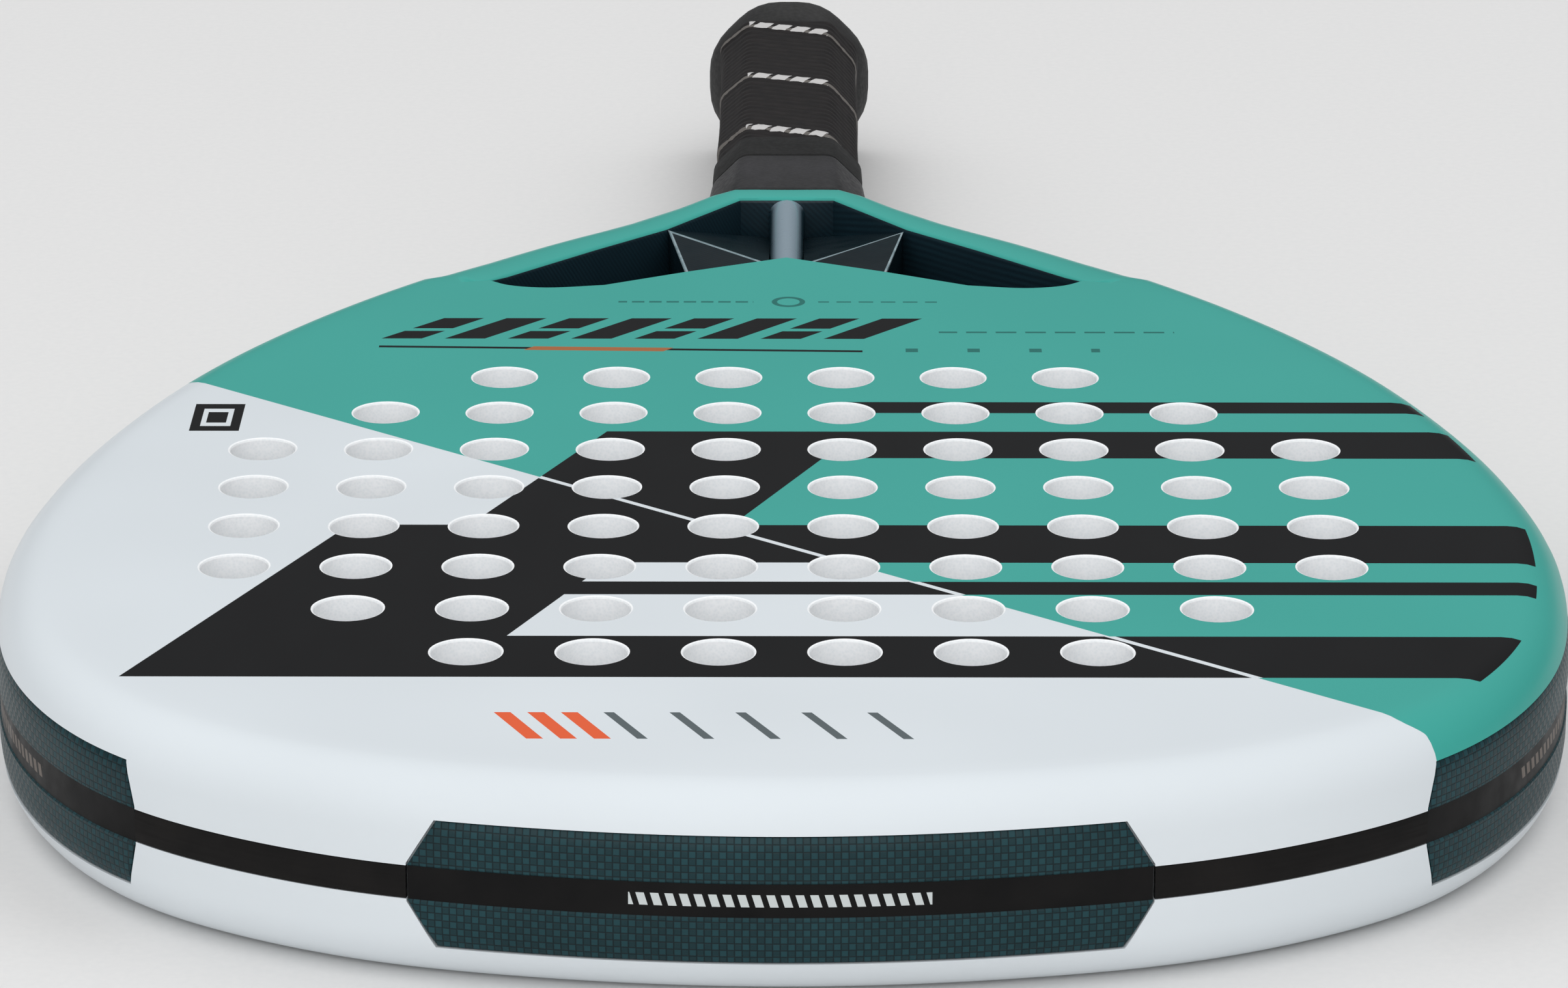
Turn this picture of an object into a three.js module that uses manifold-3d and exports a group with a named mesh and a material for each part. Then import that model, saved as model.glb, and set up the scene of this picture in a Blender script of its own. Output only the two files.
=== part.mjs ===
// Padel racket: a hairpin carbon frame around a drilled foam core, two face skins, an open throat
// and a wrapped handle. Millimetres, +Z up. The racket lies on its rear face, the tip of the head
// points to -Y and the butt to +Y, and the origin is the middle of its footprint.
import * as THREE from 'three';
import { mergeVertices } from 'three/addons/utils/BufferGeometryUtils.js';
import { ConvexGeometry } from 'three/addons/geometries/ConvexGeometry.js';
import Module from 'manifold-3d';

const wasm = await Module();
wasm.setup();

// Overall sizes
const thickness = 34;
const midHeight = thickness / 2;
const tipY = -227.5;
const buttY = 227.5;
const gap = 0.3;

// Outer edge of the frame on the +X side, from the tip to the neck
const outline = [
  [0, tipY], [38, -224.2], [72, -215.2], [104.5, -194.5], [123.5, -162], [130, -117],
  [127, -84], [119, -51.5], [105.5, -17.5], [84.7, 16.6], [55, 50.9], [26, 77],
];

// Frame tube
const headTube = { y: 17, width: 17, height: thickness, corner: 7 };
const throatTube = { y: 66, width: 14.8, height: thickness, corner: 7 };
const neckTube = { y: 83.5, width: 10.2, height: thickness, corner: 7 };
const shoulderTube = { y: 86.5, width: 8.8, height: 16, corner: 3.5 };
const legTube = { y: 91, width: 7.8, height: 14, corner: 3 };
const legOuterX = 9.6;
const legEndY = 206;
const tubeWall = 2.8;
const outlineSteps = 30;

// Face skins and the foam core
const skinThickness = 1.2;
const skinInset = 12;
const skinRecess = 0.2;
const rebateDepth = skinRecess + skinThickness + gap;
const coreEndY = 8;
const holeRadius = 5.6;
const holePitchX = 20.05;
const holePitchY = 19.5;
const holeCounts = [6, 8, 10, 10, 10, 10, 8, 6];
const firstHoleRowY = -30.5;

// Throat: the edge of the opening on the head side, and the pieces that stand in it
const throatEdge = [[0, 40.8], [18.4, 32], [34, 23.6], [45, 21.8], [52, 23]];
const wingEndY = 22.5;
const throatTopY = 79;
const ribHalfWidth = 3.4;
const ribHeight = 29;
const webCorner = [22.2, 59.2];

// Guards and the strip let into the rim
const guard = { height: 20.5, thickness: 1, point: 4.5, pointHeight: 5.4 };
const tipGuardHalfLength = 57.2;
const sideGuardFrom = 106.6;
const sideGuardTo = 268;
const strip = { height: 5.2, thickness: 0.7 };
const stripEndsAt = 352;

// Handle, from the inside out: each sleeve is an octagon of width and height
const octagonCorner = 0.2;
const shell = { width: 23.6, height: 25.6, wall: 1.4, from: 93, to: 212 };
const cushion = { width: 26, height: 28, wall: 0.9, from: 112.4, to: 213 };
const wrap = { width: 28.4, height: 30.4, wall: 0.9, from: 112.4, to: 214 };
const tape = { width: 30, height: 32, wall: 0.5, from: 112.4, to: 126 };
const collar = {
  head: { y: 87, width: 33.2, height: 33.4 },
  grip: { y: 112, width: 30.4, height: 32.2 },
  bore: { width: 24.3, height: 26.3 },
};
const butt = {
  skirt: { width: 20.2, height: 22.2, from: 206.6 },
  neck: { width: 29, height: 31, y: 214.4 },
  flange: { width: 34.4, height: thickness, y: 220.5 },
  face: { width: 32, height: 32, y: buttY },
  bore: { width: 16, height: 18, to: 223.5 },
};
const cordHole = { width: 11, height: 7 };
const anchorPin = { radius: 1.6, length: 15.4, y: 217 };

const colours = {
  mint: 0x4aafa3,
  white: 0xdfe4e8,
  foam: 0xe6e8e8,
  carbon: 0x16191c,
  weave: 0x233b3f,
  rubber: 0x1b1b1b,
  grip: 0x2d2b2c,
  steel: 0x9a9ea3,
};

const racket = new THREE.Group();

function addPart(name, geometry, colour, roughness, metalness = 0) {
  const material = new THREE.MeshStandardMaterial({ color: colour, roughness, metalness });
  const mesh = new THREE.Mesh(geometry, material);
  mesh.name = name;
  racket.add(mesh);
  return mesh;
}

// Boolean helpers
function toManifold(geometry) {
  const bare = geometry.clone();
  bare.deleteAttribute('normal');
  bare.deleteAttribute('uv');
  const merged = mergeVertices(bare, 1e-4);
  return new wasm.Manifold(new wasm.Mesh({
    numProp: 3,
    vertProperties: new Float32Array(merged.attributes.position.array),
    triVerts: new Uint32Array(merged.index.array),
  }));
}

function toGeometry(solid) {
  const mesh = solid.getMesh();
  const geometry = new THREE.BufferGeometry();
  geometry.setAttribute('position', new THREE.BufferAttribute(mesh.vertProperties, 3));
  geometry.setIndex(new THREE.BufferAttribute(mesh.triVerts, 1));
  return geometry;
}

function cut(geometry, ...tools) {
  let solid = toManifold(geometry);
  for (const tool of tools) {
    solid = solid.subtract(toManifold(tool));
  }
  return toGeometry(solid);
}

// The rim is a row of stations: a point on the outer edge, its outward normal, and the distance
// along the edge from the tip, positive on the +X side.
function mirrored(points) {
  return points.slice(1).reverse().map(([x, y]) => [-x, y]);
}

function stationsOf(points) {
  const stations = points.map(([x, y]) => ({ x, y }));
  let travelled = 0;
  stations.forEach((station, i) => {
    const before = stations[Math.max(i - 1, 0)];
    const after = stations[Math.min(i + 1, stations.length - 1)];
    const dx = after.x - before.x;
    const dy = after.y - before.y;
    const length = Math.hypot(dx, dy);
    station.nx = dy / length;
    station.ny = -dx / length;
    travelled += i === 0 ? 0 : Math.hypot(station.x - before.x, station.y - before.y);
    station.along = travelled;
  });
  const tip = stations.reduce((low, station) => (station.y < low.y ? station : low));
  const start = tip.along;
  stations.forEach((station) => {
    station.along -= start;
  });
  return stations;
}

const edgePoints = [...mirrored(outline), ...outline].map(([x, y]) => new THREE.Vector3(x, y, 0));
const edgeCurve = new THREE.CatmullRomCurve3(edgePoints, false, 'centripetal');
const edgeStations = stationsOf(edgeCurve.getSpacedPoints(outlineSteps * 2).map((p) => [p.x, p.y]));

// Point on the edge at a distance from the tip
function edgeAt(along) {
  const last = edgeStations.length - 1;
  let i = edgeStations.findIndex((station) => station.along >= along);
  i = Math.min(Math.max(i, 1), last);
  const a = edgeStations[i - 1];
  const b = edgeStations[i];
  const t = (along - a.along) / (b.along - a.along);
  const mix = (key) => a[key] + (b[key] - a[key]) * t;
  return { x: mix('x'), y: mix('y'), nx: mix('nx'), ny: mix('ny'), along };
}

function edgeRange(from, to, extraStops = []) {
  const inside = edgeStations.filter((station) => station.along > from + 2 && station.along < to - 2);
  const clear = inside.filter((station) => extraStops.every((stop) => Math.abs(stop - station.along) > 2));
  const stops = [from, ...clear.map((station) => station.along), ...extraStops, to];
  return stops.sort((a, b) => a - b).map(edgeAt);
}

// Solid swept along stations. section(station) lists [inset, z] corners, anticlockwise when
// inset grows to the right and z upwards.
function sweep(stations, section) {
  const rings = stations.map((station) => section(station).map(([inset, z]) => [
    station.x - station.nx * inset,
    station.y - station.ny * inset,
    z,
  ]));
  const count = rings[0].length;
  const index = [];
  for (let i = 0; i < rings.length - 1; i += 1) {
    for (let j = 0; j < count; j += 1) {
      const next = (j + 1) % count;
      const a = i * count + j;
      const b = i * count + next;
      const c = a + count;
      const d = b + count;
      index.push(a, b, d, a, d, c);
    }
  }
  const endStart = (rings.length - 1) * count;
  const capOf = (station) => {
    const corners = section(station).map(([inset, z]) => new THREE.Vector2(inset, z));
    return THREE.ShapeUtils.triangulateShape(corners, []);
  };
  for (const [a, b, c] of capOf(stations[0])) {
    index.push(a, c, b);
  }
  for (const [a, b, c] of capOf(stations[stations.length - 1])) {
    index.push(endStart + a, endStart + b, endStart + c);
  }
  const geometry = new THREE.BufferGeometry();
  geometry.setAttribute('position', new THREE.Float32BufferAttribute(rings.flat(2), 3));
  geometry.setIndex(index);
  return geometry;
}

function boxSection(near, far, low, high) {
  return [[near, low], [far, low], [far, high], [near, high]];
}

// Flat plate between two heights from an outline and round holes
function plate(points, low, high, holes = []) {
  const shape = new THREE.Shape(points.map(([x, y]) => new THREE.Vector2(x, y)));
  for (const [x, y] of holes) {
    const hole = new THREE.Path();
    hole.absarc(x, y, holeRadius, 0, Math.PI * 2, true);
    shape.holes.push(hole);
  }
  const options = { depth: high - low, bevelEnabled: false, curveSegments: 4 };
  return new THREE.ExtrudeGeometry(shape, options).translate(0, 0, low);
}

// Both halves of a shape that is symmetric about x = 0, from the half that starts on the axis
function bothHalves(half) {
  const other = half.filter(([x]) => x > 0).reverse().map(([x, y]) => [-x, y]);
  return [...half, ...other];
}

// Frame: one hairpin tube from the handle, round the head and back to the handle
const tubeSizes = [headTube, throatTube, neckTube, shoulderTube, legTube];

function tubeAt(station) {
  const next = tubeSizes.find((size) => size.y > station.y);
  if (next === undefined) return legTube;
  if (next === headTube) return headTube;
  const last = tubeSizes[tubeSizes.indexOf(next) - 1];
  const t = (station.y - last.y) / (next.y - last.y);
  const mix = (key) => last[key] + (next[key] - last[key]) * t;
  return { width: mix('width'), height: mix('height'), corner: mix('corner') };
}

function tubeSection(station) {
  const { width, height, corner } = tubeAt(station);
  const low = midHeight - height / 2;
  const high = midHeight + height / 2;
  const soft = corner * 0.3;
  const inner = 1.5;
  return [
    [0, low + corner], [soft, low + soft], [corner, low], [width - inner, low], [width, low + inner],
    [width, high - inner], [width - inner, high], [corner, high], [soft, high - soft], [0, high - corner],
  ];
}

function boreSection(station) {
  const { width, height } = tubeAt(station);
  const low = midHeight - height / 2 + tubeWall;
  const high = midHeight + height / 2 - tubeWall;
  const wall = Math.min(tubeWall, width / 3.4);
  const chamfer = Math.min(3, width / 6);
  return [
    [wall, low + chamfer], [wall + chamfer, low], [width - wall, low], [width - wall, high],
    [wall + chamfer, high], [wall, high - chamfer],
  ];
}

const neckPath = [[17.4, neckTube.y], [10.8, shoulderTube.y], [legOuterX, legTube.y], [legOuterX, legEndY]];
const sideStations = edgeStations.filter((station) => station.along > 1);
const tubeHalf = [outline[0], ...sideStations.map((station) => [station.x, station.y])];
const tubePoints = [...mirrored([...tubeHalf, ...neckPath]), ...tubeHalf, ...neckPath];
const tubeStations = stationsOf(tubePoints);

function guardSection(station, from, to, grow) {
  const reach = Math.min(station.along - from, to - station.along);
  const open = Math.min(Math.max(reach / guard.point, 0), 1);
  const height = guard.pointHeight + (guard.height - guard.pointHeight) * open + grow * 2;
  const near = grow > 0 ? -2 : 0;
  return boxSection(near, guard.thickness + grow, midHeight - height / 2, midHeight + height / 2);
}

function guardSolid(from, to, grow = 0) {
  const stops = [from + guard.point, to - guard.point];
  const stations = edgeRange(from - grow, to + grow, stops);
  return sweep(stations, (station) => guardSection(station, from, to, grow));
}

function stripSolid(from, to, grow = 0) {
  const half = strip.height / 2 + grow;
  const near = grow > 0 ? -2 : 0;
  const section = boxSection(near, strip.thickness + grow, midHeight - half, midHeight + half);
  return sweep(edgeRange(from, to), () => section);
}

const rebateEnd = sideStations.find((station) => station.y > 34).along;

function skinRebate(low, high) {
  const stations = edgeRange(-rebateEnd, rebateEnd);
  return sweep(stations, () => boxSection(skinInset - gap, headTube.width + 2, low, high));
}

const guardSpans = [
  ['tip_guard', -tipGuardHalfLength, tipGuardHalfLength],
  ['right_side_guard', sideGuardFrom, sideGuardTo],
  ['left_side_guard', -sideGuardTo, -sideGuardFrom],
];
const stripSpans = [
  ['edge_strip_front_right', tipGuardHalfLength + gap, sideGuardFrom - gap],
  ['edge_strip_front_left', gap - sideGuardFrom, -tipGuardHalfLength - gap],
  ['edge_strip_rear_right', sideGuardTo + gap, stripEndsAt],
  ['edge_strip_rear_left', -stripEndsAt, -sideGuardTo - gap],
];

const frameCutters = [
  sweep(extended(tubeStations, 4), boreSection),
  skinRebate(-1, rebateDepth),
  skinRebate(thickness - rebateDepth, thickness + 1),
  ...guardSpans.map(([, from, to]) => guardSolid(from, to, gap)),
  ...stripSpans.map(([, from, to]) => stripSolid(from - gap, to + gap, gap)),
];
addPart('head_frame', cut(sweep(tubeStations, tubeSection), ...frameCutters), colours.mint, 0.35);

// The same stations with the two ends pulled out, so that a bore runs out of the tube
function extended(stations, length) {
  const first = { ...stations[0] };
  const last = { ...stations[stations.length - 1] };
  first.y += length;
  last.y += length;
  return [first, ...stations.slice(1, -1), last];
}

for (const [name, from, to] of guardSpans) {
  addPart(name, guardSolid(from, to), colours.weave, 0.3);
}
for (const [name, from, to] of stripSpans) {
  addPart(name, stripSolid(from, to), colours.rubber, 0.6);
}

// Foam core and face skins, with the same holes
const holes = [];
holeCounts.forEach((count, row) => {
  for (let i = 0; i < count; i += 1) {
    holes.push([(i - (count - 1) / 2) * holePitchX, firstHoleRowY - row * holePitchY]);
  }
});

function insetHalf(inset, endY) {
  const points = sideStations.map((s) => [s.x - s.nx * inset, s.y - s.ny * inset]);
  const kept = points.filter(([x, y]) => y < endY - 1 && x > 1);
  const last = kept[kept.length - 1];
  const next = points[points.findIndex((point) => point === last) + 1];
  const t = (endY - last[1]) / (next[1] - last[1]);
  return [[0, tipY + inset], ...kept, [last[0] + (next[0] - last[0]) * t, endY]];
}

const coreEdge = insetHalf(headTube.width + gap, coreEndY);
const coreLow = rebateDepth;
const coreHigh = thickness - rebateDepth;
const coreOutline = bothHalves([...coreEdge, [0, coreEndY]]);
addPart('foam_core', plate(coreOutline, coreLow, coreHigh, holes), colours.foam, 0.8);

const skinEdge = insetHalf(skinInset, wingEndY - 1.5);
const throatOutside = throatEdge.slice().reverse();
const skinOutline = bothHalves([...skinEdge, ...throatOutside]);
const rearSkin = plate(skinOutline, skinRecess, skinRecess + skinThickness, holes);
const frontLow = thickness - skinRecess - skinThickness;
const frontSkin = plate(skinOutline, frontLow, thickness - skinRecess, holes);
addPart('front_face_skin', frontSkin, colours.mint, 0.35);
addPart('rear_face_skin', rearSkin, colours.mint, 0.35);

// Bridge: the block that closes the head across the throat
const bridgeBase = insetHalf(headTube.width + gap, coreEndY + gap);
const bridgeOuter = insetHalf(headTube.width + gap, wingEndY);
const bridgeSide = bridgeOuter.filter(([, y]) => y > coreEndY + gap);
const bridgeOutline = bothHalves([
  [0, coreEndY + gap], bridgeBase[bridgeBase.length - 1], ...bridgeSide, ...throatOutside,
]);
addPart('throat_bridge', plate(bridgeOutline, coreLow, coreHigh), colours.carbon, 0.25);

// Rib along the middle of the throat, a wall with rounded faces, and a faceted web on each side
function rodAlongY(profile, fromY, toY) {
  const shape = new THREE.Shape(profile.map(([x, z]) => new THREE.Vector2(x, z)));
  const geometry = new THREE.ExtrudeGeometry(shape, { depth: toY - fromY, bevelEnabled: false });
  return geometry.rotateX(Math.PI / 2).translate(0, toY, midHeight);
}

function stadium(halfWidth, height, steps) {
  const centre = height / 2 - halfWidth;
  const points = [];
  for (let i = 0; i <= steps; i += 1) {
    const angle = (i / steps) * Math.PI;
    points.push([halfWidth * Math.cos(angle), centre + halfWidth * Math.sin(angle)]);
  }
  return [...points, ...points.map(([x, z]) => [-x, -z])];
}

const ribProfile = stadium(ribHalfWidth, ribHeight, 6);
addPart('throat_rib', rodAlongY(ribProfile, throatEdge[0][1] + 1.3, throatTopY - gap), colours.carbon, 0.15);

function throatWeb(side) {
  const insideX = ribHalfWidth + gap;
  const corners = [
    [insideX, 39.9, 12], [insideX, throatTopY - gap, 9.5], [5.4, throatTopY - gap, 9],
    [webCorner[0], webCorner[1], 15], [18.8, 32.6, 14],
  ];
  const points = [];
  for (const [x, y, half] of corners) {
    points.push(new THREE.Vector3(side * x, y, midHeight + half));
    points.push(new THREE.Vector3(side * x, y, midHeight - half));
  }
  return new ConvexGeometry(points);
}
addPart('throat_web_right', throatWeb(1), colours.carbon, 0.2);
addPart('throat_web_left', throatWeb(-1), colours.carbon, 0.2);

// Neck block between the two legs of the tube
const neckOutline = bothHalves([[0, throatTopY], [5, throatTopY], [2.6, 82.2], [0, 82.2]]);
addPart('neck_block', plate(neckOutline, skinRecess, thickness - skinRecess), colours.mint, 0.35);

// Handle sleeves
function octagon({ width, height }) {
  const x = width / 2;
  const z = height / 2;
  const corner = width * octagonCorner;
  return [
    [x, corner - z], [x, z - corner], [x - corner, z], [corner - x, z],
    [-x, z - corner], [-x, corner - z], [corner - x, -z], [x - corner, -z],
  ];
}

function sleeve({ width, height, wall, from, to }) {
  const outside = rodAlongY(octagon({ width, height }), from, to);
  const bore = octagon({ width: width - wall * 2, height: height - wall * 2 });
  return cut(outside, rodAlongY(bore, from - 1, to + 1));
}

const fillerHalf = legOuterX - legTube.width - gap;
const fillerLength = legEndY - legTube.y;
const filler = new THREE.BoxGeometry(fillerHalf * 2, fillerLength, legTube.height);
addPart('handle_foam_core', filler.translate(0, legEndY - fillerLength / 2, midHeight), colours.foam, 0.9);
addPart('handle_shell', sleeve(shell), colours.carbon, 0.4);
addPart('base_grip', sleeve(cushion), colours.rubber, 0.8);
addPart('overgrip', sleeve(wrap), colours.grip, 0.7);
addPart('finishing_tape', sleeve(tape), colours.rubber, 0.5);

// Solid lofted between octagons of the same centre line
function loft(rings) {
  const position = rings.flatMap((ring) => octagon(ring).flatMap(([x, z]) => [x, ring.y, midHeight + z]));
  const sides = 8;
  const end = (rings.length - 1) * sides;
  const index = [];
  for (let start = 0; start < end; start += sides) {
    for (let i = 0; i < sides; i += 1) {
      const a = start + i;
      const b = start + ((i + 1) % sides);
      index.push(a, b + sides, b, a, a + sides, b + sides);
    }
  }
  for (let i = 1; i < sides - 1; i += 1) {
    index.push(0, i, i + 1, end, end + i + 1, end + i);
  }
  const geometry = new THREE.BufferGeometry();
  geometry.setAttribute('position', new THREE.Float32BufferAttribute(position, 3));
  geometry.setIndex(index);
  return geometry;
}

// Flared rubber collar over the neck
const collarBore = rodAlongY(octagon(collar.bore), collar.head.y - 1, collar.grip.y + 1);
addPart('neck_collar', cut(loft([collar.head, collar.grip]), collarBore), colours.rubber, 0.5);

// Butt cap: a skirt inside the shell, a flange, and a hole in the end for a wrist cord
const { skirt, neck, flange, face, bore } = butt;
const capBody = loft([neck, flange, face]);
const capSkirt = rodAlongY(octagon(skirt), skirt.from, neck.y + 2);
const capBore = rodAlongY(octagon(bore), skirt.from - 1, bore.to);
const capHole = new THREE.BoxGeometry(cordHole.width, 12, cordHole.height).translate(0, buttY, midHeight);
const cap = toManifold(capBody).add(toManifold(capSkirt));
addPart('butt_cap', cut(toGeometry(cap), capBore, capHole), colours.rubber, 0.6);

const pin = new THREE.CylinderGeometry(anchorPin.radius, anchorPin.radius, anchorPin.length, 12);
addPart('cord_anchor_pin', pin.rotateZ(Math.PI / 2).translate(0, anchorPin.y, midHeight), colours.steel, 0.35, 1);

export default racket;
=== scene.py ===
import math
from functools import partial
import bpy
import bmesh
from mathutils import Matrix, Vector
from mathutils.geometry import tessellate_polygon


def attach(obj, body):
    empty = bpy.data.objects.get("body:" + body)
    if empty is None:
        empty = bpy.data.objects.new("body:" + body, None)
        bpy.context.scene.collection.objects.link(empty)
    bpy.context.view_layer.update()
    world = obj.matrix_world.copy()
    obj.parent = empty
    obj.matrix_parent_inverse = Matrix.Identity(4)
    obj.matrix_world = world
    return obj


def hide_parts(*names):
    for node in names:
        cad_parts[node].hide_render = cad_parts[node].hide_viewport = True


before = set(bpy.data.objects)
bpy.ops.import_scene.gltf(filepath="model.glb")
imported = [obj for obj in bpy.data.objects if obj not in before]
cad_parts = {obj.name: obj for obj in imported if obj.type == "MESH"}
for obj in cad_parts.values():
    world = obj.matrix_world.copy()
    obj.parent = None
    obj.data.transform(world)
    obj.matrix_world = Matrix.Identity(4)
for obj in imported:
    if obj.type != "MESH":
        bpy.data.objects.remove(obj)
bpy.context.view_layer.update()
print("frame loaded:", len(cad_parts), "nodes")

mm = 0.001  # sizes below are in mm where nothing else is said
topZ = 34.0  # front face
midZ = 17.0  # middle of the thickness


def linear(hexColour):
    values = [int(hexColour[i:i + 2], 16) / 255 for i in (1, 3, 5)]
    return [v / 12.92 if v <= 0.04045 else ((v + 0.055) / 1.055) ** 2.4 for v in values] + [1.0]


def mixed(a, b, t):
    return a + (b - a) * t


def kept01(value):
    return min(max(value, 0), 1)


# Camera: a long lens at the tip end, about 20 degrees above the racket, places in metres
cameraSetup = {
    "eye": (0.00385, -1.109, 0.397), "heading": (-0.0035, 0.9418, -0.3363), "lens": 146.1, "sensor": 36,
}
cameraData = bpy.data.cameras.new("camera")
cameraData.lens = cameraSetup["lens"]
cameraData.sensor_width = cameraSetup["sensor"]
camera = bpy.data.objects.new("camera", cameraData)
camera.location = cameraSetup["eye"]
camera.rotation_euler = Vector(cameraSetup["heading"]).to_track_quat("-Z", "Y").to_euler()
bpy.context.scene.collection.objects.link(camera)
bpy.context.scene.camera = camera


# Materials
noiseSpan = (0.3, 0.7)  # where most of a noise pattern's values lie
colourMix = {"data_type": "RGBA", "output": 2}  # sockets: 0 share, 6 and 7 colours
times = {"operation": "MULTIPLY"}
timesPlus = {"operation": "MULTIPLY_ADD"}


def addNode(tree, kind, links=None, output=0, **settings):
    # links gives sockets a value or another node's output; output None returns all outputs
    node = tree.nodes.new("ShaderNode" + kind)
    for key, value in settings.items():
        setattr(node, key, value)
    for socket, value in (links or {}).items():
        if isinstance(value, bpy.types.NodeSocket):
            tree.links.new(value, node.inputs[socket])
        else:
            node.inputs[socket].default_value = value
    return node.outputs if output is None else node.outputs[output]


def newMaterial(name, **surface):
    # a Principled surface with its uniform values on its own sockets; returns addNode for its tree,
    # and a function that finishes the surface and gives back the material
    material = bpy.data.materials.new(name)
    material.use_nodes = True
    tree = material.node_tree
    shader = tree.nodes["Principled BSDF"]
    for socket, value in surface.items():
        shader.inputs[socket.replace("_", " ")].default_value = value

    def finish(colour, height=None, depth=0.0, pattern=None, rough=(), span=noiseSpan, under=None):
        # bumps of a height pattern, depth in mm, and roughness that follows another pattern
        tree.links.new(colour, shader.inputs["Base Color"])
        if height:
            links = {"Height": height, "Distance": depth * mm, "Strength": 1.0}
            if under:
                links["Normal"] = under
            tree.links.new(addNode(tree, "Bump", links), shader.inputs["Normal"])
        if pattern:
            links = {0: pattern, 1: span[0], 2: span[1], 3: rough[0], 4: rough[1]}
            tree.links.new(addNode(tree, "MapRange", links), shader.inputs["Roughness"])
        return material

    return partial(addNode, tree), finish


def millimetres(add):
    # place on the object, x, y and z in mm
    coordinate = add("TexCoord", output="Object")
    return add("VectorMath", {0: coordinate, 1: (1000, 1000, 1000)}, **times)


def sized(place, size, detail=2.0):
    # links of a noise pattern with lumps of this size in mm
    return {"Vector": place, "Scale": 1 / size, "Detail": detail}


def mottle(add, pattern, dark, light, span=noiseSpan):
    # two hex colours that follow a pattern
    share = add("MapRange", {0: pattern, 1: span[0], 2: span[1]})
    return add("Mix", {0: share, 6: linear(dark), 7: linear(light)}, **colourMix)


def patch(add, u, v, box, within=None):
    # 1 inside the box (u from, u to, v from, v to) and 0 outside
    u0, u1, v0, v1 = box
    across = add("Math", {0: u, 1: (u0 + u1) / 2, 2: (u1 - u0) / 2}, operation="COMPARE")
    along = add("Math", {0: v, 1: (v0 + v1) / 2, 2: (v1 - v0) / 2}, operation="COMPARE")
    both = add("Math", {0: across, 1: along}, **times)
    return both if within is None else add("Math", {0: both, 1: within}, **times)


def barRow(add, u, pitch, share, start=0.0):
    # 1 on the bars of a row, for share of each pitch
    moved = add("Math", {0: u, 1: -start}, operation="ADD")
    steps = add("Math", {0: moved, 1: 1 / pitch}, **times)
    part = add("Math", {0: steps}, operation="FRACT")
    return add("Math", {0: part, 1: share}, operation="LESS_THAN")


def either(add, masks):
    total = masks[0]
    for mask in masks[1:]:
        total = add("Math", {0: total, 1: mask}, operation="MAXIMUM")
    return total


# Printed and lacquered laminate: screen printed inks under a satin clear coat. It gives flat clean
# colour with a soft sheen, slight unevenness and faint rubbing.
printDesign = {
    "inks": {
        "mint": "#43A69B", "white": "#DCE2E6", "black": "#08080A", "orange": "#E5623A", "copper": "#A8683F",
        "grey": "#5C6568", "teal": "#256F68",
    },
    "flatDepth": 0.6,  # ink marks stay on the flat of each face, this close to its plane
    # line between white and mint, its normal and place; below the middle it lies nearer the throat
    "splitNormal": (0.6286, 0.7777), "splitAt": -91.47, "splitHalf": 0.55, "rearShift": 111.5,
    "guardReach": 2.3, "swellFrom": (17.0, 27.0), "swellTo": (33.9, 31.0),
    # boxes are (u from, u to, y from, y to), where u is x leaned over by y
    "lean": 0.45,
    "blocks": [
        (29.2, 260, -50, -44), (-3.9, 260, -74, -60), (-3.9, 40, -108, -73.9), (-24, 260, -126, -107.9),
        (-24, 28, -160, -125.9), (27, 260, -141, -135), (-24, 260, -178, -159.9),
    ],
    "barLean": 0.9, "barBox": (-66, 25.5, -8.4, 3.6), "bars": (11.5, 0.64, -66.0),
    "slotAt": -3.2, "slotHalf": 0.75, "slots": (23.0, 0.5, -66.0),
    "underRise": 0.029, "underBox": (-73.7, 14, -15.7, -14.6), "copperBox": (-34, -8, -16.3, -14.2),
    # broken lines are a box in x and y, with the pitch, share and start of their dashes
    "dashes": [
        ((-31, -6, 13.0, 13.9), (3.2, 0.72, 0.3)), ((6, 28, 13.1, 13.8), (4.1, 0.66, 1.2)),
        ((28, 71, -4.9, -4.0), (5.4, 0.7, 0.6)), ((21.4, 57, -16.0, -13.9), (11.2, 0.2, 21.8)),
    ],
    "ringAt": (0.5, 13.5, 0.0), "ringRadius": 2.6, "ringHalf": 0.5,
    "block": (-103.9, -95.2, -60.0, -45.5), "frameOut": (-102.2, -96.9, -57.4, -48.1),
    "frameIn": (-101.3, -97.8, -55.6, -49.9),
    "strokeLean": -0.5, "strokeBox": (-124, -74, -204, -193), "strokes": (10.2, 0.16, -124.0),
    "orangeBox": (-141, -126, -204, -193), "orangeStrokes": (5.2, 0.5, -141.0),
}


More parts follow.
